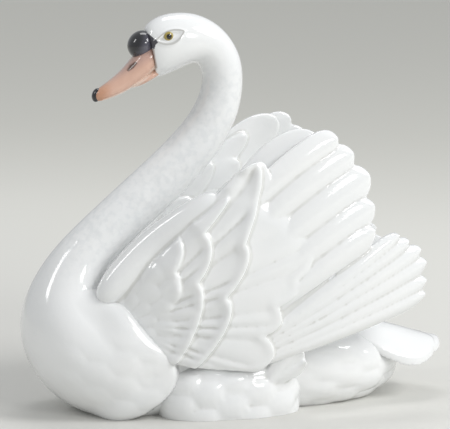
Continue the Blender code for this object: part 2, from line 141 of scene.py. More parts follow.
# The breast ends in a puffed edge in front of the wing: points on it (x, how far out, z). The
# swelling holds to the edge, fades forward, and starts at BREAST_SIDES from the middle plane.
BREAST_EDGE = (
    (-63.0, 21.0, 64.0), (-57.0, 30.0, 57.0), (-52.7, 35.0, 50.0), (-47.0, 38.2, 41.5),
    (-39.6, 39.4, 35.0), (-34.8, 39.8, 29.0), (-33.2, 39.6, 22.0), (-35.8, 38.4, 14.5),
    (-41.5, 36.2, 8.0), (-48.0, 32.6, 3.0), (-56.0, 27.0, -2.0),
)
BREAST_ROUND = 3.2
BREAST_HOLD = 5.0
BREAST_FADE = 20.0
BREAST_SIDES = (8.0, 20.0)
BEFORE_BREAST = -150.0
FLANK_CENTRE = (-5.0, 22.0, 8.0)
FLANK_RADII = (36.0, 20.5, 21.0)
FLANK_SQUARE = 2.7

# The soft scale feathers: their pitch, how far one reaches back, forward and to each side in
# pitches, and how high they are on the rump, the breast and the flanks. They fade in behind
# RUMP_START and in front of BREAST_START, below both tops, and over BREAST_OUT to the side.
SCALE_PITCH = 13.0
SCALE_REACH = (0.55, 1.1, 0.62)
RUMP_SCALES = 1.6
BREAST_SCALES = 0.64
FLANK_SCALES = 1.84
SCALE_FADE = 12.0
RUMP_START = 26.0
RUMP_TOP = 50.0
BREAST_START = -34.0
BREAST_TOP = 46.0
BREAST_TOP_FADE = 14.0
BREAST_OUT = (22.0, 32.0)

# The tuft behind each flank: its feathers' tips (x, z) and lean, their length, width and
# thickness, and how far they are from the middle plane.
TUFT_TIPS = ((29.0, 33.0, 42.0), (24.5, 34.5, 52.0), (30.5, 28.0, 30.0))
TUFT_SIZE = (20.0, 10.0, 10.0)
TUFT_DEPTH = 39.5

# The wings lie on a dome: this is how far its surface is from the middle plane. In front the
# wing dives under the breast.
DOME_PEAK = 50.0
DOME_FALL = 20.0
DOME_X = 20.0
DOME_Z = 75.0
DOME_REACH_X = 90.0
DOME_REACH_Z = 110.0
DIVE_START = -36.0
DIVE_REACH = 26.0
DIVE_DEPTH = 5.6

# The wing's core under the feathers. A ring is its upper end (x, z), its lower end (x, z), its
# thickness, and how far it is sunk under the dome.
CORE_RINGS = (
    (-68.0, 54.0, -62.0, 45.0, 6.0, 2.0),
    (-64.0, 58.5, -58.0, 40.0, 8.0, 1.8),
    (-52.0, 72.0, -50.0, 34.0, 10.0, 1.8),
    (-36.0, 88.0, -37.0, 30.0, 12.0, 1.8),
    (-20.0, 103.0, -18.0, 28.0, 12.5, 2.0),
    (-3.0, 117.0, 0.0, 30.0, 11.0, 2.6),
    (14.0, 123.0, 13.0, 31.0, 7.5, 3.2),
    (30.0, 122.0, 27.0, 35.0, 4.6, 3.4),
    (42.0, 116.0, 40.0, 43.0, 2.4, 3.8),
)
CORE_SQUARE = 3.2
CORE_POINTS = 16

# The arm is a roll behind the wing's front edge, from its round end up: its middle line
# (x, z), its radius, and how far it is from the middle plane.
ARM_LINE = (
    (-69.2, 58.2, 1.5, 24.5), (-68.4, 59.4, 4.2, 24.5), (-66.0, 62.4, 6.4, 24.5),
    (-60.0, 69.0, 7.9, 24.5), (-52.0, 77.0, 8.6, 25.0), (-43.0, 86.0, 8.6, 26.5),
    (-33.0, 94.5, 8.4, 31.0), (-22.0, 103.5, 7.4, 36.0), (-13.0, 111.0, 4.5, 39.5),
)
ARM_POINTS = 20

# The coverts are a shield on the dome, in four steps. A rim is a run of scallops: the point
# where one starts, its tip, the point where the next starts, its tip, and so on (x, z). What is
# behind a rim is closed off beyond the wing, in front of it (x) and above it (z).
SHIELD_FRONT = ((-68.5, 53.0), (-62.0, 44.0), (-46.0, 31.0))
SHIELD_TOP = ((-68.5, 53.0), (-57.0, 67.5), (-43.5, 81.5), (-22.0, 104.0), (-6.5, 121.5))
SHIELD_BOTTOM = ((-46.0, 31.0), (-24.0, 26.2), (4.0, 23.5))
BEYOND_WING = (-95.0, 150.0)
SCALLOP_POINTS = 10
SHIELD_EDGE = (
    (-6.5, 121.5), (7.0, 127.0), (9.5, 112.0), (31.0, 90.5), (23.5, 69.2), (22.0, 61.5),
    (13.6, 56.4), (15.2, 47.5), (7.0, 42.0), (12.5, 32.0), (4.0, 23.5),
)
RIM_C = (
    (-12.0, 118.0), (5.5, 125.5), (-2.8, 87.8), (-2.2, 77.0), (-12.0, 61.8), (-11.2, 48.0),
    (-26.0, 26.0),
)
RIM_B = (
    (-26.0, 99.5), (-10.5, 110.5), (-22.0, 94.0), (-19.2, 83.0), (-25.3, 69.6),
    (-24.6, 51.5), (-37.0, 26.0),
)
RIM_A = (
    (-34.0, 92.0), (-32.6, 84.0), (-36.0, 75.0), (-33.8, 65.0), (-38.6, 55.5),
)

# A step rises to its rim over its width and ends in a soft lip. Grooves part its feathers, which
# fan out from the fan's centre, one to each pitch. They fade in over GROOVE_FADE inside the rim
# and out past the step's width. A step grows from nothing to all of it over fade_z in height.
STEPS = (
    dict(rim=SHIELD_EDGE, rise=-0.1, width=24.0, lip=0.4, groove=0.5, pitch_deg=8.2, fade_z=(98, 84)),
    dict(rim=RIM_C, rise=2.4, width=17.0, lip=0.95, groove=1.1, pitch_deg=8.6, fade_z=(20, 24)),
    dict(rim=RIM_B, rise=2.4, width=15.0, lip=1.05, groove=1.0, pitch_deg=9.5, fade_z=(20, 24)),
    dict(rim=RIM_A, rise=1.6, width=22.0, lip=0.8, groove=0.4, pitch_deg=13.0, fade_z=(54, 66)),
)
LIP_PLACE = 2.2
LIP_WIDTH = 2.5
STEP_EASE = 1.2
STEP_SOFT = 1.5
GROOVE_INSET = 1.8
GROOVE_FADE = 4.0
GROOVE_PAST = 6.0
GROOVE_END = 8.0
FURROW_SHARP = 0.45
FURROW_WIDTH = 0.13
FAN_CENTRE = (-61.0, 47.0)
FAN_FADE = (14.0, 28.0)

# Small feathers by the arm, in rings round the fan's centre: their pitch, their height, how wide
# a degree is, and over which distances from the centre they fade in and out.
KNUCKLE_PITCH = 9.0
KNUCKLE_HEIGHT = 1.3
KNUCKLE_LANE = 0.35
KNUCKLE_IN = (6.0, 14.0)
KNUCKLE_OUT = (30.0, 46.0)

# The shield's sheet, and how deep and from how far in its sides sink among the feathers. Its
# last rim sinks only in BARE_HEIGHTS, where the plumes run out of it.
SHIELD_COLUMNS = 170
SHIELD_LANES = 190
SHIELD_THICK = 3.4
TOP_SINK = (3.2, 6.0)
BOTTOM_SINK = (1.2, 3.0)
EDGE_SINK = (2.6, 13.0)
BARE_HEIGHTS = ((82.0, 92.0), (109.0, 115.0))

# Feather rows of a wing, each from its top feather to its bottom one. A row's tips lie on the
# curve through its tip points (x, z). Pairs run from the top feather to the bottom one. Angles
# are above the horizontal, towards the tail, and a bend adds to them along the feather.
OUTER_ROWS = (
    dict(name="plume_low", tips=((78, 88), (93, 77), (94, 57)), count=6, length=(90, 97),
         angle=(34, 18), bend=(0, 0), overlap=1.5, lift=-2.0, thick=6.4),
    dict(name="plume_top", tips=((46, 138), (62, 119), (64, 92)), count=5, length=(66, 78),
         angle=(50, 37), bend=(-26, -6), overlap=1.35, lift=-1.2, thick=6.4),
)
INNER_ROWS = (
    dict(name="lining_long", tips=((37, 138), (47, 124), (49, 104)), count=3, length=(56, 60),
         angle=(48, 32), bend=(-14, -4), overlap=1.4, lift=1.8, thick=4.2),
    dict(name="lining_far", tips=((20, 131), (14, 108), (6, 80)), count=4,
         length=(40, 34), angle=(48, 20), bend=(-6, 0), overlap=1.5, lift=3.0, thick=4.2),
    dict(name="lining_near", tips=((1, 117), (-7, 97), (-12, 74)), count=3,
         length=(34, 28), angle=(52, 26), bend=(-4, 0), overlap=1.5, lift=3.8, thick=4.2),
)

# The two feathers that are copied: the share of the length that the round tip takes, how high
# the rim stands, and how much lower the sides are. A copy's root is sunk this deep.
SHORT_FEATHER = dict(tip=0.42, lip=0.1, crown=0.55)
LONG_FEATHER = dict(tip=0.14, lip=0.0, crown=0.8)
ROOT_SINK = 3.0

# The clay's grain in the melted pieces, and how many times each is rubbed smooth.
WING_MELT = (0.56, 9)
FLANK_MELT = (0.6, 10)
TAIL_MELT = (0.6, 14)
MANTLE_MELT = (0.7, 8)

# The painted shade in a crease is full where the surface bends in by this much, in 1/mm, after some
# blurring.
CREASE_FULL = 0.12
CREASE_BLUR = 8

# The tail: broad feathers from one root (x, z), merged into a leaf that arches and falls.
TAIL_ROOT = (56.0, 43.0)
TAIL_COUNT = 3
TAIL_LENGTH = 57.5
TAIL_SIDE_LENGTH = 53.0
TAIL_SPREAD_DEG = 8.5
TAIL_WIDTH = 38.0
TAIL_FALL_DEG = 18.0
TAIL_THICK = 7.5
TAIL_THINNING = 0.3
TAIL_ARCH = 8.5
TAIL_ARCH_REACH = 20.0

# The mantle's feathers: tip (x), how far to the side, and length.
MANTLE_FEATHERS = (
    (34.0, 0.0, 34.0), (20.0, 12.0, 32.0), (20.0, -12.0, 32.0),
    (4.0, 0.0, 32.0), (-8.0, 11.0, 30.0), (-8.0, -11.0, 30.0),
)
MANTLE_WIDTH = 21.0
MANTLE_THICK = 7.0
MANTLE_LIFT = 2.6

# The photograph's camera.
VIEW_TURN_DEG = -15.0
VIEW_RISE_DEG = 9.0
VIEW_DISTANCE = 1300.0
VIEW_AIM = (0.0, 0.0, 95.0)
PICTURE_WIDTH_PX = 450.0
PIXELS_PER_MM = 2.0
SENSOR_WIDTH = 36.0

# The table's paper is painted darker from its near colour to its far one over these distances (mm)
# from its middle (x, y), as painted shade where the lamps' light falls off. Far behind, where the
# lamps don't reach, it glows faintly.
FLOOR_SIZE = 14000.0
FLOOR_BACK = 3000.0
FLOOR_MIDDLE = (-300.0, 0.0)
FLOOR_SHADE_FADE = (350.0, 1300.0)
GLOW_FADE = (150.0, 800.0)
FLOOR_NEAR = (0.675, 0.67, 0.638, 1.0)
FLOOR_FAR_SHADED = (0.535, 0.53, 0.492, 1.0)
FLOOR_GLOW = (0.16, 0.16, 0.148, 1.0)
BLACK = (0.0, 0.0, 0.0, 1.0)

# Paints and glazes, as a screen shows them, from 0 to 255, with a painted shade for the creases and a
# painted sheen for the knob's back.
PAINTS = dict(
    white_cool=(238, 240, 241), white_warm=(245, 245, 244), crease_shade=(178, 176, 166),
    mottle=(206, 211, 214), lid=(120, 116, 104), wedge=(70, 69, 76), edge=(134, 100, 80),
    salmon=(214, 172, 152), peach=(230, 192, 172), bill_top=(196, 160, 150),
    bill_tip=(196, 134, 92), bill_edge=(124, 86, 66), gape=(244, 226, 212),
    nostril=(72, 44, 32), black=(36, 36, 40), sheen_grey=(112, 110, 124),
    iris=(166, 148, 76), eye_rim=(206, 202, 180), pupil=(14, 12, 12),
)
COAT_ROUGHNESS = 0.03

# Where paints change: the neck's mottling by height, the lid line at its back end, the bill above its
# gape's line and at its tip, the knob's painted sheen at its back, and the eye from its centre out.
NECK_START = (60.0, 90.0)
NECK_END = (178.0, 160.0)
LID_LINE_BACK = (-18.0, -20.0)
GAPE_START = (-36.0, 170.0)
GAPE_SLOPE = 0.54
BILL_TOP_FADE = (4.0, 9.0)
BILL_TIP_FADE = (-57.0, -64.0)
KNOB_SHEEN = (-136.0, -126.0)
IRIS_EDGE = (2.1, 2.6)
PUPIL_EDGE = (1.5, 1.15)

# The pale room and its softboxes, aimed at the swan's middle: name, place and size in metres,
# and power in watts. The large one is on the right.
ROOM_COLOUR = (0.86, 0.88, 0.9, 1.0)
ROOM_STRENGTH = 0.52
LAMP_AIM = (0.0, 0.0, 0.09)
LAMPS = (
    ("key_softbox", (1.2, -0.87, 1.35), (0.75, 0.75), 18.6),
    ("top_softbox", (0.1, 0.4, 1.2), (0.6, 0.4), 2.6),
    ("front_window", (0.45, -1.2, 0.7), (0.3, 0.3), 3.2),
    ("left_window", (-1.0, 0.1, 0.8), (0.16, 0.4), 1.5),
)


def mix(a, b, share):
    """A value this share of the way from a to b."""
    return a + (b - a) * share


def spline(points, share):
    """A point at this share of the way along a smooth curve through the points."""
    spans = len(points) - 1
    place = min(share * spans, spans - 1e-9)
    i = int(place)
    t = place - i
    before = points[max(i - 1, 0)]
    after = points[min(i + 2, spans)]
    mixed = []
    for a, b, c, d in zip(before, points[i], points[i + 1], after):
        slope_b = (c - a) / 2
        slope_c = (d - b) / 2
        mixed.append(
            (2 * t**3 - 3 * t**2 + 1) * b
            + (t**3 - 2 * t**2 + t) * slope_b
            + (3 * t**2 - 2 * t**3) * c
            + (t**3 - t**2) * slope_c
        )
    return mixed


def power(value, exponent):
    """A signed power, for rounded squares."""
    return math.copysign(abs(value) ** exponent, value)


def step_up(value, low, high):
    """0 below low and 1 above high, with a soft step between."""
    share = min(max((value - low) / (high - low), 0.0), 1.0)
    return share * share * (3 - 2 * share)


def dome(x, z):
    """How far the wing's outer surface is from the middle plane, in millimetres."""
    fall = ((x - DOME_X) / DOME_REACH_X) ** 2 + ((z - DOME_Z) / DOME_REACH_Z) ** 2
    dive = DIVE_DEPTH * step_up(DIVE_START - x, 0.0, DIVE_REACH)
    return DOME_PEAK - DOME_FALL * fall - dive


def alone(piece):
    """Selects this piece and nothing else."""
    bpy.ops.object.select_all(action="DESELECT")
    piece.select_set(True)
    bpy.context.view_layer.objects.active = piece


def apply_modifier(piece, kind, **settings):
    """Adds a modifier with these settings and applies it."""
    alone(piece)
    modifier = piece.modifiers.new(kind.lower(), kind)
    for name, value in settings.items():
        setattr(modifier, name, value)
    bpy.ops.object.modifier_apply(modifier=modifier.name)


def apply_place(piece):
    """Moves the object's place into its mesh."""
    alone(piece)
    bpy.ops.object.transform_apply(location=True, rotation=True, scale=True)


def edit_all(piece):
    """Goes into the piece's mesh with all of it selected."""
    alone(piece)
    bpy.ops.object.mode_set(mode="EDIT")
    bpy.ops.mesh.select_all(action="SELECT")


def face_out(piece):
    """Turns every face of a closed piece outwards."""
    edit_all(piece)
    bpy.ops.mesh.normals_make_consistent(inside=False)
    bpy.ops.object.mode_set(mode="OBJECT")


def join(pieces, name):
    """Puts the pieces in one object."""
    alone(pieces[0])
    for piece in pieces:
        piece.select_set(True)
    bpy.ops.object.join()
    joined = bpy.context.view_layer.objects.active
    joined.name = name
    joined.data.name = name
    return joined


def fuse(piece, grain, rubs):
    """Melts overlapping clay into one skin and rubs it smooth, as slip and glaze do."""
    apply_modifier(piece, "REMESH", mode="VOXEL", voxel_size=grain * MM, use_smooth_shade=True)
    apply_modifier(piece, "SMOOTH", factor=0.5, iterations=rubs)
    return piece


def press(piece, form):
    """Presses a flat piece over a form: form(x, y, z) in millimetres gives each point's place."""
    for vert in piece.data.vertices:
        vert.co = Vector(form(*(vert.co / MM))) * MM


def draw_out(name, rings, points=24, smooth=3):
    """A closed form drawn out ring by ring from a flat disc, then smoothed."""
    frames = []
    for front_x, front_z, back_x, back_z, half_width, square in rings:
        centre = Vector(((front_x + back_x) / 2, 0.0, (front_z + back_z) / 2)) * MM
        reach = math.hypot(back_x - front_x, back_z - front_z) / 2
        tilt = math.atan2(back_z - front_z, back_x - front_x)
        frames.append((centre, tilt, reach, half_width, square))
    centre, tilt, reach, half_width, square = frames[0]
    bpy.ops.mesh.primitive_circle_add(vertices=points, radius=MM, fill_type="NGON")
    piece = bpy.context.object
    piece.name = name
    edit_all(piece)
    bpy.ops.transform.resize(value=(reach, half_width, 1.0), center_override=(0, 0, 0))
    bpy.ops.transform.rotate(value=tilt, orient_axis="Y", center_override=(0, 0, 0))
    bpy.ops.transform.translate(value=centre)
    for old, new in zip(frames, frames[1:]):
        move = new[0] - old[0]
        bpy.ops.mesh.extrude_region_move(TRANSFORM_OT_translate={"value": move})
        turn = dict(orient_axis="Y", center_override=new[0])
        bpy.ops.transform.rotate(value=-old[1], **turn)
        size = (new[2] / old[2], new[3] / old[3], 1.0)
        bpy.ops.transform.resize(value=size, center_override=new[0])
        bpy.ops.transform.rotate(value=new[1], **turn)
    bpy.ops.object.mode_set(mode="OBJECT")
    square_off(piece, frames, points)
    face_out(piece)
    if smooth:
        apply_modifier(piece, "SUBSURF", levels=smooth, render_levels=smooth)
    shade(piece)
    return piece


def square_off(piece, frames, points):
    """Pushes the corners of each drawn ring out, by how square it is."""
    for i, vert in enumerate(piece.data.vertices):
        centre, tilt, reach, half_width, square = frames[i // points]
        off = vert.co - centre
        along = off.x * math.cos(tilt) + off.z * math.sin(tilt)
        angle = math.atan2(off.y / half_width, along / reach)
        new_along = power(math.cos(angle), 2 / square) * reach * MM
        new_across = power(math.sin(angle), 2 / square) * half_width * MM
        vert.co = centre + Vector(
            (new_along * math.cos(tilt), new_across, new_along * math.sin(tilt))
        )


def shade(piece):
    """Shades the piece smooth."""
    alone(piece)
    bpy.ops.object.shade_smooth()


def pebble(name, centre, radii, square=2.0, lean_deg=0.0, smooth=1):
    """A rounded form pressed from a ball."""
    bpy.ops.mesh.primitive_uv_sphere_add(segments=24, ring_count=16, radius=1.0)
    piece = bpy.context.object
    piece.name = name
    for vert in piece.data.vertices:
        vert.co = Vector(power(a, 2 / square) * b * MM for a, b in zip(vert.co, radii))
    piece.rotation_euler.y = math.radians(lean_deg)
    piece.location = Vector(centre) * MM
    apply_place(piece)
    apply_modifier(piece, "SUBSURF", levels=smooth, render_levels=smooth)
    shade(piece)
    return piece


def feather_blank(name, tip, lip, crown):
    """A flat, pillowed feather one unit long and one wide, to be copied."""
    bpy.ops.mesh.primitive_grid_add(x_subdivisions=20, y_subdivisions=14, size=1.0)
    blank = bpy.context.object
    blank.name = name
    edit_all(blank)
    bpy.ops.transform.translate(value=(0.5, 0.0, 0.0))
    bpy.ops.mesh.extrude_region_move(TRANSFORM_OT_translate={"value": (0.0, 0.0, -1.0)})
    bpy.ops.object.mode_set(mode="OBJECT")
    for vert in blank.data.vertices:
        share, across, depth = vert.co
        # Columns crowd towards the tip, where the outline turns.
        share = 1 - (1 - share) ** 1.6
        lane = across * 2
        swell = mix(0.62, 1.0, math.sin(min(share / (1 - tip), 1.0) * math.pi / 2))
        end = max(0.0, (share - 1 + tip) / tip)
        width = swell * math.sqrt(max(1 - 0.97 * end**2, 0.0))
        inside = min(1 - abs(lane), (1 - end) * 0.7 + 0.3 * (end < 0.01))
        pillow = 0.5 * (1 - crown * lane**2) + lip * math.exp(-((inside / 0.2) ** 2))
        height = pillow if depth > -0.5 else -0.42 * (1 - 0.3 * lane**2)
        vert.co = (share, across * width, height)
    face_out(blank)
    shade(blank)
    return blank


def row_feathers(row, blank):
    """Copies of the blank for one row, laid flat in the XZ plane with their outer face to -Y."""
    count = row["count"]
    shares = [i / (count - 1) for i in range(count)]
    ends = [Vector(spline(row["tips"], share)) for share in shares]
    laid = []
    for i, share in enumerate(shares):
        angle = mix(*row["angle"], share)
        bend = mix(*row["bend"], share)
        length = mix(*row["length"], share)
        first = max(i - 1, 0)
        last = min(i + 1, count - 1)
        step = (ends[last] - ends[first]) / (last - first)
        heading = math.radians(angle + bend)
        pitch = abs(step.x * math.sin(heading) - step.y * math.cos(heading))
        mean = math.radians(angle + bend / 2)
        root = ends[i] - Vector((math.cos(mean), math.sin(mean))) * length
        size = (length, pitch * row["overlap"], row["thick"])
        name = f"{row['name']}_{i}"
        laid.append(lay_feather(blank, name, size, angle, bend, root, row["lift"]))
    return laid


def lay_feather(blank, name, size, angle, bend, root, lift):
    """One copy of the blank, sized, bent in its plane, and laid flat from its root."""
    mesh = blank.data.copy()
    feather = bpy.data.objects.new(name, mesh)
    bpy.context.scene.collection.objects.link(feather)
    length, width, thick = size
    for vert in mesh.vertices:
        x, y, z = vert.co
        vert.co = Vector((x * length, y * width, z * thick)) * MM
    if abs(bend) > 0.5:
        bent = dict(deform_method="BEND", deform_axis="Z", angle=math.radians(bend))
        apply_modifier(feather, "SIMPLE_DEFORM", **bent)
    pitch_up = math.atan2(ROOT_SINK, length)
    flat = Matrix.Rotation(math.pi / 2, 4, "X")
    aim = Matrix.Rotation(-math.radians(angle), 4, "Y")
    sink = Matrix.Rotation(-pitch_up, 4, "Y")
    place = Matrix.Translation(Vector((root.x, -(lift - ROOT_SINK), root.y)) * MM)
    feather.matrix_world = place @ aim @ flat @ sink
    apply_place(feather)
    return feather


def make_core():
    """The wing's core, laid flat like the feathers."""
    steps = (len(CORE_RINGS) - 1) * 2
    rings = [spline(CORE_RINGS, i / steps) for i in range(steps + 1)]
    drawn = []
    for top_x, top_z, low_x, low_z, thick, _ in rings:
        drawn.append((low_x, low_z, top_x, top_z, thick / 2, CORE_SQUARE))
    core = draw_out("wing_core", drawn, points=CORE_POINTS, smooth=0)
    for i, vert in enumerate(core.data.vertices):
        _, _, _, _, thick, sink = rings[i // CORE_POINTS]
        vert.co.y += (sink + thick / 2) * MM
    apply_modifier(core, "SUBSURF", levels=2, render_levels=2)
    return core


def lining_depth(x):
    """How far the core's inner face is under the dome at this x."""
    first = CORE_RINGS[0][0]
    last = CORE_RINGS[-1][0]
    share = min(max((x - first) / (last - first), 0.0), 1.0)
    ring = spline(CORE_RINGS, share)
    return ring[4] + ring[5]


def scallops(rim):
    """The rim's curve: each scallop swings out to its tip and back."""
    curve = []
    for start, tip, stop in zip(rim[0::2], rim[1::2], rim[2::2]):
        middle = ((start[0] + stop[0]) / 2, (start[1] + stop[1]) / 2)
        for i in range(SCALLOP_POINTS):
            share = i / SCALLOP_POINTS
            swing = math.sin(math.pi * share) ** 0.75
            curve.append(tuple(
                mix(a, b, share) + (c - d) * swing for a, b, c, d in zip(start, stop, tip, middle)
            ))
    return curve + [rim[-1]]


def curve_distance(points, curve):
    """How far each point is from the curve."""
    nearest = np.full(len(points), np.inf)
    for a, b in zip(curve, curve[1:]):
        a, b = np.array(a), np.array(b)
        share = np.clip((points - a) @ (b - a) / max((b - a) @ (b - a), 1e-9), 0, 1)
        away = points - a - share[:, None] * (b - a)
        nearest = np.minimum(nearest, np.linalg.norm(away, axis=1))
    return nearest


def depth_inside(points, curve, corners):
    """How far each point is from the curve: above 0 inside the outline that the corners close."""
    closed = curve + corners
    inside = np.zeros(len(points), bool)
    for (x0, z0), (x1, z1) in zip(closed, closed[1:] + closed[:1]):
        if z0 == z1:
            continue
        crosses = (points[:, 1] > min(z0, z1)) & (points[:, 1] <= max(z0, z1))
        at = x0 + (points[:, 1] - z0) * (x1 - x0) / (z1 - z0)
        inside ^= crosses & (points[:, 0] < at)
    distance = curve_distance(points, curve)
    return np.where(inside, distance, -distance)


def ramp_up(values, low, high):
    """0 at low and 1 at high, evenly between, and no more or less beyond."""
    return np.clip((values - low) / (high - low), 0, 1)


def shield_heights(points):
    """The height of the covert shield over the dome at each point (x, z)."""
    heights = np.zeros(len(points))
    away = points - np.array(FAN_CENTRE)
    turn = np.degrees(np.arctan2(away[:, 1], away[:, 0]))
    reach = np.linalg.norm(away, axis=1)
    spread = ramp_up(reach, *FAN_FADE)
    for step in STEPS:
        curve = scallops(step["rim"])
        front, top = BEYOND_WING
        corners = [(front, curve[-1][1]), (front, top), (curve[0][0], top)]
        inside = depth_inside(points, curve, corners)
        depth = np.clip(inside, 0, None)
        level = step["rise"] * (1 - np.clip(depth / step["width"], 0, 1)) ** STEP_EASE
        level += step["lip"] * np.exp(-(((depth - LIP_PLACE) / LIP_WIDTH) ** 2))
        # The feathers are a little uneven in width.
        wave = turn / step["pitch_deg"] + 0.22 * np.sin(turn * 0.29)
        off = np.abs(wave - np.round(wave))
        furrow = FURROW_SHARP * np.exp(-((off / FURROW_WIDTH) ** 2))
        furrow += (1 - FURROW_SHARP) * np.cos(np.pi * off) ** 2
        fade = np.clip((depth - GROOVE_INSET) / GROOVE_FADE, 0, 1)
        fade *= np.clip((step["width"] + GROOVE_PAST - depth) / GROOVE_END, 0, 1)
        level -= step["groove"] * furrow * fade * spread
        blend = np.clip(inside / STEP_SOFT + 0.5, 0, 1)
        blend = blend * blend * (3 - 2 * blend)
        blend = blend * ramp_up(points[:, 1], *step["fade_z"])
        heights = heights * (1 - blend) + level * blend
    knuckles = [scale_relief(r, t * KNUCKLE_LANE, KNUCKLE_PITCH) for r, t in zip(reach, turn)]
    near = ramp_up(reach, *KNUCKLE_IN) * (1 - ramp_up(reach, *KNUCKLE_OUT))
    return heights + KNUCKLE_HEIGHT * (np.array(knuckles) - 0.5) * near


def run_along(curve, share):
    """A point at this share of a curve's length."""
    curve = np.array(curve)
    lengths = np.concatenate([[0], np.cumsum(np.linalg.norm(np.diff(curve, axis=0), axis=1))])
    at = share * lengths[-1]
    return np.stack([np.interp(at, lengths, curve[:, i]) for i in (0, 1)], axis=-1)


def sunk_side(points, side, sink, ease):
    """How much a side of the shield is sunk at each point."""
    depth, reach = sink
    return depth * np.clip(1 - curve_distance(points, side) / reach, 0, 1) ** ease


def make_shield():
    """The coverts: a sheet stretched between the wing's front, edges and last rim, then carved."""
    counts = dict(x_subdivisions=SHIELD_COLUMNS, y_subdivisions=SHIELD_LANES)
    bpy.ops.mesh.primitive_grid_add(size=1.0, **counts)
    shield = bpy.context.object
    shield.name = "shield"
    flat = np.array([vert.co[:2] for vert in shield.data.vertices]) + 0.5
    u, v = flat[:, :1], flat[:, 1:]
    smooth_top = [spline(SHIELD_TOP, i / 40) for i in range(41)]
    smooth_bottom = [spline(SHIELD_BOTTOM, i / 20) for i in range(21)]
    smooth_front = [spline(SHIELD_FRONT, i / 20) for i in range(21)]
    top = run_along(smooth_top, flat[:, 0])
    bottom = run_along(smooth_bottom, flat[:, 0])
    front = run_along(smooth_front, 1 - flat[:, 1])
    edge = run_along(scallops(SHIELD_EDGE), 1 - flat[:, 1])
    corner = [np.array(p) for side in (SHIELD_BOTTOM, SHIELD_TOP) for p in (side[0], side[-1])]
    points = (1 - v) * bottom + v * top + (1 - u) * front + u * edge
    points -= (1 - u) * (1 - v) * corner[0] + u * (1 - v) * corner[1]
    points -= (1 - u) * v * corner[2] + u * v * corner[3]
    bare_from, bare_to = BARE_HEIGHTS
    bare = ramp_up(points[:, 1], *bare_from) * (1 - ramp_up(points[:, 1], *bare_to))
    heights = shield_heights(points)
    heights -= sunk_side(points, smooth_top, TOP_SINK, 2.0)
    heights -= sunk_side(points, smooth_bottom, BOTTOM_SINK, 2.0)
    heights -= sunk_side(points, scallops(SHIELD_EDGE), EDGE_SINK, 1.5) * bare
    for vert, (x, z), height in zip(shield.data.vertices, points, heights):
        vert.co = Vector((x, -height, z)) * MM
    edit_all(shield)
    depth = (0.0, SHIELD_THICK * MM, 0.0)
    bpy.ops.mesh.extrude_region_move(TRANSFORM_OT_translate={"value": depth})
    bpy.ops.object.mode_set(mode="OBJECT")
    face_out(shield)
    return shield


def make_arm():
    """The rolled arm behind the wing's front edge."""
    rings = []
    for i, (x, z, radius, out) in enumerate(ARM_LINE):
        before = ARM_LINE[max(i - 1, 0)]
        after = ARM_LINE[min(i + 1, len(ARM_LINE) - 1)]
        heading = math.atan2(after[1] - before[1], after[0] - before[0])
        side_x, side_z = -math.sin(heading) * radius, math.cos(heading) * radius
        rings.append((x + side_x, z + side_z, x - side_x, z - side_z, radius, 2.0))
    arm = draw_out("arm", rings, points=ARM_POINTS, smooth=0)
    for i, vert in enumerate(arm.data.vertices):
        vert.co.y -= ARM_LINE[i // ARM_POINTS][3] * MM
    apply_modifier(arm, "SUBSURF", levels=2, render_levels=2)
    return arm


def make_left_wing(plume_blank, lining_blank):
    """The left wing: feathers laid flat over a core, melted together and pressed to the dome."""
    flat = [make_core(), make_shield()]
    for row in OUTER_ROWS:
        flat += row_feathers(row, plume_blank)
    for row in INNER_ROWS:
        for feather in row_feathers(row, lining_blank):
            press(feather, lambda x, y, z: (x, lining_depth(x) - y, z))
            face_out(feather)
            flat.append(feather)
    wing = join(flat, "left_wing")
    press(wing, lambda x, y, z: (x, y - dome(x, z), z))
    wing = join([wing, make_arm()], "left_wing")
    return fuse(wing, *WING_MELT)


def mirrored(piece, name):
    """A copy of the piece on the other side of the swan."""
    alone(piece)
    bpy.ops.object.duplicate()
    copy = bpy.context.object
    copy.name = name
    copy.data.name = name
    copy.scale.y = -1.0
    apply_place(copy)
    face_out(copy)
    return copy


def make_tail(blank):
    """The tail: feathers melted into one leaf, arched across and falling to its tip."""
    feathers = []
    for i in range(TAIL_COUNT):
        share = 2 * i / (TAIL_COUNT - 1) - 1
        length = mix(TAIL_LENGTH, TAIL_SIDE_LENGTH, share**2)
        size = (length, TAIL_WIDTH, TAIL_THICK)
        root = Vector((TAIL_ROOT[0], 0.0))
        turn = TAIL_SPREAD_DEG * share
        feathers.append(lay_feather(blank, f"tail_{i}", size, turn, 0.0, root, 0.0))
    tail = join(feathers, "tail")

    def form(x, y, z):
        fall = math.tan(math.radians(TAIL_FALL_DEG)) * (x - TAIL_ROOT[0])
        arch = TAIL_ARCH * (z / TAIL_ARCH_REACH) ** 2
        thin = 1 - TAIL_THINNING * step_up((x - TAIL_ROOT[0]) / TAIL_LENGTH, 0.5, 1.0)
        return (x, -z, TAIL_ROOT[1] - y * thin - fall - arch)

    press(tail, form)
    face_out(tail)
    return fuse(tail, *TAIL_MELT)


def back_height(x):
    """The height of the back at this x."""
    back = [(ring[2], ring[3]) for ring in BODY_RINGS[1:10]]
    for (x0, z0), (x1, z1) in zip(back, back[1:]):
        if x1 <= x <= x0:
            return mix(z0, z1, (x - x0) / (x1 - x0))
    return back[0][1] if x > back[0][0] else back[-1][1]


def make_mantle(blank):
    """The feathers along the back between the wings."""
    feathers = []
    for i, (x, across, length) in enumerate(MANTLE_FEATHERS):
        root = Vector((x - length, across))
        size = (length, MANTLE_WIDTH, MANTLE_THICK)
        feathers.append(lay_feather(blank, f"mantle_{i}", size, 0.0, 0.0, root, MANTLE_LIFT))
    mantle = join(feathers, "mantle")
    press(mantle, lambda x, y, z: (x, -z, back_height(x) - y - z**2 / (2 * MANTLE_WIDTH)))
    face_out(mantle)
    return fuse(mantle, *MANTLE_MELT)


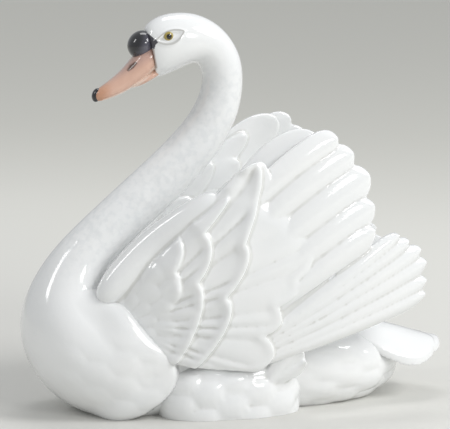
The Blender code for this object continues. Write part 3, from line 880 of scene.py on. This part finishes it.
def scale_relief(along, across, pitch):
    """Soft overlapping scales: 1 at a scale's crest and 0 in the creases between them."""
    best = 0.0
    back, forward, side = SCALE_REACH
    row = math.floor(along / pitch)
    for i in (row - 1, row, row + 1):
        shift = 0.5 * (i % 2)
        lane = math.floor(across / pitch - shift)
        for j in (lane, lane + 1):
            off_along = along / pitch - i - 0.5
            off_across = across / pitch - j - shift
            reach = back if off_along > 0 else forward
            best = max(best, 1 - (off_along / reach) ** 2 - (off_across / side) ** 2)
    return best


def swell(piece, height):
    """Pushes a piece's surface out along its normals by height(x, y, z), in millimetres."""
    normals = [vert.normal.copy() for vert in piece.data.vertices]
    for vert, normal in zip(piece.data.vertices, normals):
        vert.co += normal * height(*(vert.co / MM)) * MM


def make_flank(blank):
    """The left flank lobe beside the foot, with soft scale feathers and a standing tuft."""
    centre = (FLANK_CENTRE[0], -FLANK_CENTRE[1], FLANK_CENTRE[2])
    lobe = pebble("left_flank", centre, FLANK_RADII, FLANK_SQUARE, smooth=2)
    swell(lobe, lambda x, y, z: FLANK_SCALES * scale_relief(x - 0.2 * z, z, SCALE_PITCH))
    tuft = []
    for i, (tip_x, tip_z, lean) in enumerate(TUFT_TIPS):
        turn = math.radians(lean)
        root = Vector((tip_x, tip_z)) - Vector((math.cos(turn), math.sin(turn))) * TUFT_SIZE[0]
        tuft.append(lay_feather(blank, f"tuft_{i}", TUFT_SIZE, lean, 0.0, root, TUFT_DEPTH))
    flank = join([lobe] + tuft, "left_flank")
    fuse(flank, *FLANK_MELT)
    cut_flat(flank)
    return flank


def puff_breast(body):
    """Swells the breast and the shoulders, and gives the rump its soft feathers."""
    edge = [spline(BREAST_EDGE, i / 60) for i in range(61)]
    curve = [(x, z) for x, _, z in edge]
    points = np.array([(vert.co.x / MM, vert.co.z / MM) for vert in body.data.vertices])
    corners = [(BEFORE_BREAST, curve[-1][1]), (BEFORE_BREAST, curve[0][1])]
    inside = depth_inside(points, curve, corners)
    heights = np.array([z for _, _, z in edge])[::-1]
    outs = np.interp(points[:, 1], heights, np.array([out for _, out, _ in edge])[::-1])
    hold = ramp_up(inside, BREAST_FADE, BREAST_HOLD)
    hold = hold * hold * (3 - 2 * hold) * (inside > 0)
    outs = outs - BREAST_ROUND * np.clip(1 - inside / BREAST_ROUND, 0, 1) ** 2
    for vert, out, share in zip(body.data.vertices, outs, hold):
        far = abs(vert.co.y) / MM
        lift = max(out - far, 0.0) * share * step_up(far, *BREAST_SIDES)
        vert.co.y += math.copysign(lift * MM, vert.co.y)

    def relief(x, y, z):
        rump = step_up(x - RUMP_START, 0.0, SCALE_FADE) * step_up(RUMP_TOP - z, 0.0, SCALE_FADE)
        breast = step_up(BREAST_START - x, 0.0, SCALE_FADE) * step_up(abs(y), *BREAST_OUT)
        breast *= step_up(BREAST_TOP - z, 0.0, BREAST_TOP_FADE)
        height = RUMP_SCALES * rump + BREAST_SCALES * breast
        return height * scale_relief(x, z + abs(y) * 0.4, SCALE_PITCH)

    swell(body, relief)


def lid_axes(x, z):
    """Places along the eyelids, in their reach, and up across them, for numbers or nodes."""
    lean = math.radians(LID_LEAN_DEG)
    dx, dz = x - LID_CENTRE[0], z - LID_CENTRE[1]
    along = (dx * math.cos(lean) + dz * math.sin(lean)) / LID_REACH
    return along, dz * math.cos(lean) - dx * math.sin(lean)


def lid_field(x, z):
    """Under 1 inside the eyelids' outline, 1 on it, seen from the side."""
    along, up = lid_axes(x, z)
    return along**2 + abs(up) / (LID_ABOVE if up > 0 else LID_BELOW)


def carve_eyes(body):
    """Sinks the eye sockets and raises the lids round them."""
    def relief(x, y, z):
        if x > LID_BACK or z < LID_LOW or abs(y) < LID_MIDDLE:
            return 0.0
        lid = lid_field(x, z)
        ridge = LID_RIDGE * math.exp(-(((lid - LID_RIDGE_PLACE) / LID_RIDGE_WIDTH) ** 2))
        return ridge - SOCKET_DEPTH * step_up(1.0 - lid, 0.0, 0.5)

    swell(body, relief)


def cut_flat(piece):
    """Cuts the piece flat at the foot, with a closed face."""
    edit_all(piece)
    bpy.ops.mesh.bisect(plane_co=(0, 0, 0), plane_no=(0, 0, -1), use_fill=True, clear_outer=True)
    bpy.ops.object.mode_set(mode="OBJECT")


def node_maths(operation, reflected=False):
    """A method that adds one Math node. A reflected one has the other value first."""
    def method(self, other):
        values = [other, self] if reflected else [self, other]
        return self.paint.node("ShaderNodeMath", {"operation": operation}, values)

    return method


class Sum:
    """A value from a material's nodes. Python's operators on it add Math nodes."""

    def __init__(self, paint, socket):
        self.paint = paint
        self.socket = socket

    __add__ = node_maths("ADD")
    __radd__ = node_maths("ADD", reflected=True)
    __sub__ = node_maths("SUBTRACT")
    __rsub__ = node_maths("SUBTRACT", reflected=True)
    __mul__ = node_maths("MULTIPLY")
    __rmul__ = node_maths("MULTIPLY", reflected=True)
    __truediv__ = node_maths("DIVIDE")
    __pow__ = node_maths("POWER")
    least = node_maths("MINIMUM")
    most = node_maths("MAXIMUM")


class Glaze:
    """A glaze or paint: a material whose nodes are added by one method."""

    def __init__(self, name, roughness, coat):
        self.material = bpy.data.materials.new(name)
        self.material.use_nodes = True
        self.tree = self.material.node_tree
        self.shader = self.tree.nodes["Principled BSDF"]
        self.shader.inputs["Roughness"].default_value = roughness
        self.shader.inputs["Coat Weight"].default_value = coat
        self.shader.inputs["Coat Roughness"].default_value = COAT_ROUGHNESS
        self.place = self.node("ShaderNodeTexCoord", output="Object")
        self.x, self.y, self.z = [
            self.node("ShaderNodeSeparateXYZ", {}, [self.place], axis) * 1000.0 for axis in "XYZ"
        ]

    def node(self, kind, settings=None, values=(), output=0):
        """Adds a node, sets it up, and gives one of its outputs."""
        added = self.tree.nodes.new(kind)
        for name, value in (settings or {}).items():
            setattr(added, name, value)
        named = values.items() if isinstance(values, dict) else enumerate(values)
        for name, value in named:
            if isinstance(value, Sum):
                self.tree.links.new(value.socket, added.inputs[name])
            else:
                added.inputs[name].default_value = value
        return Sum(self, added.outputs[output])

    def feed(self, name, value):
        """Links a value to one of the shader's own sockets."""
        self.tree.links.new(value.socket, self.shader.inputs[name])

    def ramp(self, value, low, high):
        """0 below low and 1 above high, with a soft step between. It falls if high is below low."""
        settings = {"interpolation_type": "SMOOTHSTEP", "clamp": False}
        first, last = (0.0, 1.0) if low < high else (1.0, 0.0)
        values = [value, min(low, high), max(low, high), first, last]
        return self.node("ShaderNodeMapRange", settings, values)

    def stroke(self, points, soft):
        """1 on a run of points (x, z, half width) seen from the side, with a soft edge."""
        over = None
        for (x0, z0, half0), (x1, z1, half1) in zip(points, points[1:]):
            run_x, run_z = x1 - x0, z1 - z0
            dx, dz = self.x - x0, self.z - z0
            along = (dx * run_x + dz * run_z) / (run_x**2 + run_z**2)
            along = self.node("ShaderNodeClamp", {}, [along])
            off_x, off_z = dx - along * run_x, dz - along * run_z
            far = (off_x * off_x + off_z * off_z) ** 0.5 - (along * (half1 - half0) + half0)
            over = far if over is None else over.least(far)
        return self.ramp(over, soft, 0.0)

    def blend(self, share, one, other):
        """One colour where the share is 0, and the other where it is 1."""
        values = {0: share, 6: one, 7: other}
        return self.node("ShaderNodeMix", {"data_type": "RGBA"}, values, output=2)

    def noise(self, scale, detail=2.0):
        """Cloudy noise over the piece, from 0 to 1. The scale is in blobs per metre."""
        values = {"Vector": self.place, "Scale": scale, "Detail": detail}
        return self.node("ShaderNodeTexNoise", {}, values)

    def bump(self, height, distance):
        """Raises the surface by the height, times the distance in metres."""
        values = {"Strength": 1.0, "Distance": distance, "Height": height}
        self.feed("Normal", self.node("ShaderNodeBump", {}, values, output="Normal"))


def colour(paint):
    """A paint's colour in linear light."""
    return tuple(((c / 255 + 0.055) / 1.055) ** 2.4 for c in PAINTS[paint]) + (1.0,)


def lid_line(glaze):
    """The soft grey line along both eyelids: the carved lids' outline again, as nodes."""
    along, up = lid_axes(glaze.x, glaze.z)
    field = along * along + (up / LID_ABOVE).most(up / -LID_BELOW)
    off = (field - 1.05).most(1.05 - field)
    return glaze.ramp(off, 0.3, 0.02) * glaze.ramp(glaze.x, *LID_LINE_BACK)


def white_glaze(name, painted_head):
    """The white glaze, faintly bluish, with painted shade greying its creases."""
    glaze = Glaze(name, 0.12, 0.6)
    clouds = glaze.noise(26.0, 3.0)
    tone = glaze.blend(clouds, colour("white_cool"), colour("white_warm"))
    crease = glaze.node("ShaderNodeAttribute", {"attribute_name": "crease"}, output="Fac")
    # Painted shade: the creases are greyed.
    tone = glaze.blend(glaze.ramp(crease, 0.1, 1.0) * 0.3, tone, colour("crease_shade"))
    waves = glaze.noise(240.0, 1.0) * 0.06
    if painted_head:
        neck = glaze.ramp(glaze.z, *NECK_START) * glaze.ramp(glaze.z, *NECK_END)
        waves = waves + glaze.noise(130.0, 1.0) * neck * 0.5
        mottle = glaze.ramp(glaze.noise(320.0, 2.0), 0.4, 0.7) * neck * 0.24
        tone = glaze.blend(mottle, tone, colour("mottle"))
        tone = glaze.blend(lid_line(glaze) * 0.5, tone, colour("lid"))
        tone = glaze.blend(glaze.stroke(BILL_EDGE, 0.5) * 0.6, tone, colour("edge"))
        wedge = glaze.stroke(KNOB_WEDGE, 0.35) + glaze.stroke(KNOB_WEDGE_LOW, 0.35)
        tone = glaze.blend(wedge, tone, colour("wedge"))
    glaze.feed("Base Color", tone)
    glaze.bump(waves, 0.001)
    return glaze.material


def bill_glaze():
    """Salmon pink paint: pinker on top, peach below, brown at the tip and pale along the gape."""
    glaze = Glaze("bill_glaze", 0.14, 0.5)
    clouds = glaze.noise(160.0, 3.0)
    tone = glaze.blend(clouds, colour("salmon"), colour("peach"))
    over_gape = glaze.z - GAPE_START[1] - (glaze.x - GAPE_START[0]) * GAPE_SLOPE
    tone = glaze.blend(glaze.ramp(over_gape, *BILL_TOP_FADE) * 0.7, tone, colour("bill_top"))
    tone = glaze.blend(glaze.ramp(glaze.x, *BILL_TIP_FADE) * 0.6, tone, colour("bill_tip"))
    tone = glaze.blend(glaze.stroke(GAPE, 0.7) * 0.65, tone, colour("gape"))
    tone = glaze.blend(glaze.stroke(NOSTRIL, 0.85) * 0.95, tone, colour("nostril"))
    tone = glaze.blend(glaze.stroke(BILL_EDGE, 0.5) * 0.75, tone, colour("bill_edge"))
    glaze.feed("Base Color", tone)
    glaze.bump(glaze.noise(240.0, 1.0), 0.00006)
    return glaze.material


def knob_glaze():
    """Black paint of the knob and the nail, greyed at the back by a painted sheen."""
    glaze = Glaze("knob_glaze", 0.12, 0.6)
    # Painted sheen: the black greys towards the knob's back.
    back = glaze.ramp(glaze.x - glaze.z * 0.5 + glaze.noise(200.0) * 3.0, *KNOB_SHEEN)
    glaze.feed("Base Color", glaze.blend(back, colour("black"), colour("sheen_grey")))
    return glaze.material


def eye_glaze():
    """A black pupil in a yellow-brown iris."""
    glaze = Glaze("eye_glaze", 0.05, 0.8)
    dx = glaze.x - EYE_CENTRE[0]
    dz = glaze.z - EYE_CENTRE[2]
    far = (dx * dx + dz * dz) ** 0.5
    iris = glaze.blend(glaze.ramp(far, *IRIS_EDGE), colour("iris"), colour("eye_rim"))
    glaze.feed("Base Color", glaze.blend(glaze.ramp(far, *PUPIL_EDGE), iris, colour("pupil")))
    return glaze.material


def mark_creases(piece):
    """Stores how hollow the surface is at each point, for the shade painted there."""
    mesh = piece.data
    places = np.array([vert.co for vert in mesh.vertices]) / MM
    normals = np.array([vert.normal for vert in mesh.vertices])
    ends = np.array([edge.vertices for edge in mesh.edges])
    count = np.bincount(ends.ravel(), minlength=len(places))
    gap = places[ends[:, 1]] - places[ends[:, 0]]
    reach = np.maximum((gap**2).sum(axis=1), 1e-6)
    rises = [(normals[end] * gap).sum(axis=1) / reach for end in ends.T]
    hollow = np.bincount(ends[:, 0], rises[0], len(places))
    hollow -= np.bincount(ends[:, 1], rises[1], len(places))
    hollow = hollow / count
    for _ in range(CREASE_BLUR):
        near = np.bincount(ends[:, 0], hollow[ends[:, 1]], len(places))
        near += np.bincount(ends[:, 1], hollow[ends[:, 0]], len(places))
        hollow = 0.5 * hollow + 0.5 * near / count
    crease = mesh.attributes.new("crease", "FLOAT", "POINT")
    crease.data.foreach_set("value", np.clip(hollow / CREASE_FULL, 0, 1))


def dress(piece, material):
    """Gives a finished piece its glaze and its place in the frame."""
    mark_creases(piece)
    piece.data.materials.clear()
    piece.data.materials.append(material)
    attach(piece, "root")
    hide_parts("swan")


def add_floor():
    """The pale table, painted darker further off as shade, with a faint glow far behind."""
    bpy.ops.mesh.primitive_plane_add(size=FLOOR_SIZE * MM, location=(0.0, FLOOR_BACK * MM, 0.0))
    floor = bpy.context.object
    floor.name = "table"
    paper = Glaze("table_paper", 0.7, 0.0)
    paper.shader.inputs["Emission Strength"].default_value = 1.0
    off_x = paper.x - FLOOR_MIDDLE[0]
    off_y = paper.y + FLOOR_BACK - FLOOR_MIDDLE[1]
    far = (off_x * off_x + off_y * off_y) ** 0.5
    # Painted shade: the paper darkens with distance from its middle.
    paper.feed("Base Color", paper.blend(paper.ramp(far, *FLOOR_SHADE_FADE), FLOOR_NEAR, FLOOR_FAR_SHADED))
    paper.feed("Emission Color", paper.blend(paper.ramp(far, *GLOW_FADE), BLACK, FLOOR_GLOW))
    floor.data.materials.append(paper.material)


def add_lights():
    """The pale room and its softboxes."""
    world = bpy.data.worlds.new("room")
    bpy.context.scene.world = world
    world.use_nodes = True
    background = world.node_tree.nodes["Background"]
    background.inputs["Color"].default_value = ROOM_COLOUR
    background.inputs["Strength"].default_value = ROOM_STRENGTH
    for name, place, size, power_w in LAMPS:
        light = bpy.data.lights.new(name, "AREA")
        light.shape = "RECTANGLE"
        light.size, light.size_y = size
        light.energy = power_w
        lamp = bpy.data.objects.new(name, light)
        bpy.context.scene.collection.objects.link(lamp)
        lamp.location = place
        aim = Vector(LAMP_AIM) - Vector(place)
        lamp.rotation_euler = aim.to_track_quat("-Z", "Y").to_euler()


def add_camera():
    """The photograph's view."""
    turn = math.radians(VIEW_TURN_DEG)
    rise = math.radians(VIEW_RISE_DEG)
    level = math.cos(rise)
    back = Vector((math.sin(turn) * level, -math.cos(turn) * level, math.sin(rise)))
    data = bpy.data.cameras.new("photo_view")
    camera = bpy.data.objects.new("photo_view", data)
    bpy.context.scene.collection.objects.link(camera)
    bpy.context.scene.camera = camera
    camera.location = (Vector(VIEW_AIM) + back * VIEW_DISTANCE) * MM
    right = Vector((math.cos(turn), math.sin(turn), 0.0))
    axes = Matrix((right, back.cross(right), back)).transposed()
    camera.rotation_euler = axes.to_euler()
    data.sensor_width = SENSOR_WIDTH
    data.lens = PIXELS_PER_MM * VIEW_DISTANCE / PICTURE_WIDTH_PX * SENSOR_WIDTH
    data.clip_start = 0.01
    data.clip_end = 50.0


def main():
    """Makes the whole scene."""
    add_camera()
    add_lights()
    add_floor()
    bpy.context.scene.view_settings.view_transform = "Standard"
    white = white_glaze("white_glaze", False)
    body_white = white_glaze("body_glaze", True)
    dark = knob_glaze()
    pink = bill_glaze()
    eye = eye_glaze()

    body = draw_out("body", BODY_RINGS)
    puff_breast(body)
    carve_eyes(body)
    cut_flat(body)
    dress(body, body_white)
    dress(draw_out("upper_bill", UPPER_BILL_RINGS, BILL_POINTS), pink)
    dress(draw_out("lower_bill", LOWER_BILL_RINGS, BILL_POINTS), pink)
    dress(pebble("bill_knob", KNOB_CENTRE, KNOB_RADII, lean_deg=KNOB_LEAN_DEG), dark)
    dress(pebble("bill_nail", NAIL_CENTRE, NAIL_RADII, lean_deg=NAIL_LEAN_DEG), dark)
    for name, side in (("left", -1), ("right", 1)):
        centre = (EYE_CENTRE[0], EYE_CENTRE[1] * side, EYE_CENTRE[2])
        dress(pebble(name + "_eye", centre, (EYE_RADIUS,) * 3), eye)

    short_blank = feather_blank("short_blank", **SHORT_FEATHER)
    long_blank = feather_blank("long_blank", **LONG_FEATHER)
    left_wing = make_left_wing(long_blank, short_blank)
    right_wing = mirrored(left_wing, "right_wing")
    dress(left_wing, white)
    dress(right_wing, white)
    left_flank = make_flank(short_blank)
    right_flank = mirrored(left_flank, "right_flank")
    dress(left_flank, white)
    dress(right_flank, white)
    dress(make_tail(short_blank), white)
    dress(make_mantle(short_blank), white)
    bpy.data.objects.remove(short_blank)
    bpy.data.objects.remove(long_blank)


main()
